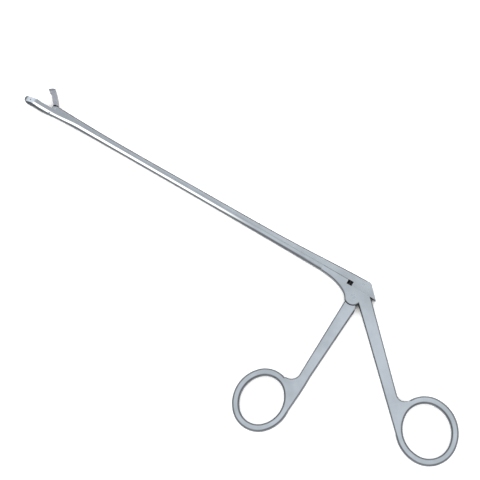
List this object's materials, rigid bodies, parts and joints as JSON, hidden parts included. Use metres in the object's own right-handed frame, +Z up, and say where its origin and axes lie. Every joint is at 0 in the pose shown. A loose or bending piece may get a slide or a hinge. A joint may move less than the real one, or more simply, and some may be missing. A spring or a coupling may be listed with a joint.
{
  "type": "biopsy forceps",
  "caption": "Long-shafted biopsy forceps in satin stainless steel: a sliding upper bar closes a punch jaw into an open basket when the ringed handles are squeezed",
  "frame": {"origin": "where the main pivot's axis meets the flat side that the forceps rests on", "axes": "+X from the jaws towards the handle end along the shaft, +Y from the finger rings' side to the sliding bar's back, +Z up from the resting side through the thickness"},
  "size_m": [0.2966, 0.106, 0.0056],
  "materials": {
    "handle_steel": "satin",
    "shaft_steel": "satin",
    "jaw_steel": "ground",
    "pin_steel": "ground"
  },
  "bodies": {
    "frame": {"rear_handle": "handle_steel", "lower_shaft": "shaft_steel", "handle_pivot_pin": "pin_steel", "jaw_hinge_pin": "pin_steel", "basket_cross_pin": "pin_steel"},
    "sliding_shaft": {"sliding_shaft": "shaft_steel", "shaft_drive_pin": "pin_steel", "jaw_link_pin": "pin_steel"},
    "front_handle": {"front_handle": "handle_steel"},
    "upper_jaw": {"upper_jaw": "jaw_steel"}
  },
  "joints": [
    {"name": "handle_swing", "type": "hinge", "parent": "frame", "child": "front_handle", "pos_m": [0, 0, 0], "axis": [0, 0, 1], "range_deg": [0, 20.49]},
    {"name": "shaft_slide", "type": "slide", "parent": "frame", "child": "sliding_shaft", "axis": [-1, 0, 0], "range_m": [0, 0.003]},
    {"name": "jaw_swing", "type": "hinge", "parent": "frame", "child": "upper_jaw", "pos_m": [-0.1936, 0.004, 0], "axis": [0, 0, 1], "range_deg": [0, 45.81]}
  ],
  "couplings": [
    {"joint": "shaft_slide", "follows": "handle_swing", "m_per_rad": 0.0083896},
    {"joint": "jaw_swing", "follows": "handle_swing", "ratio": 2.236}
  ]
}
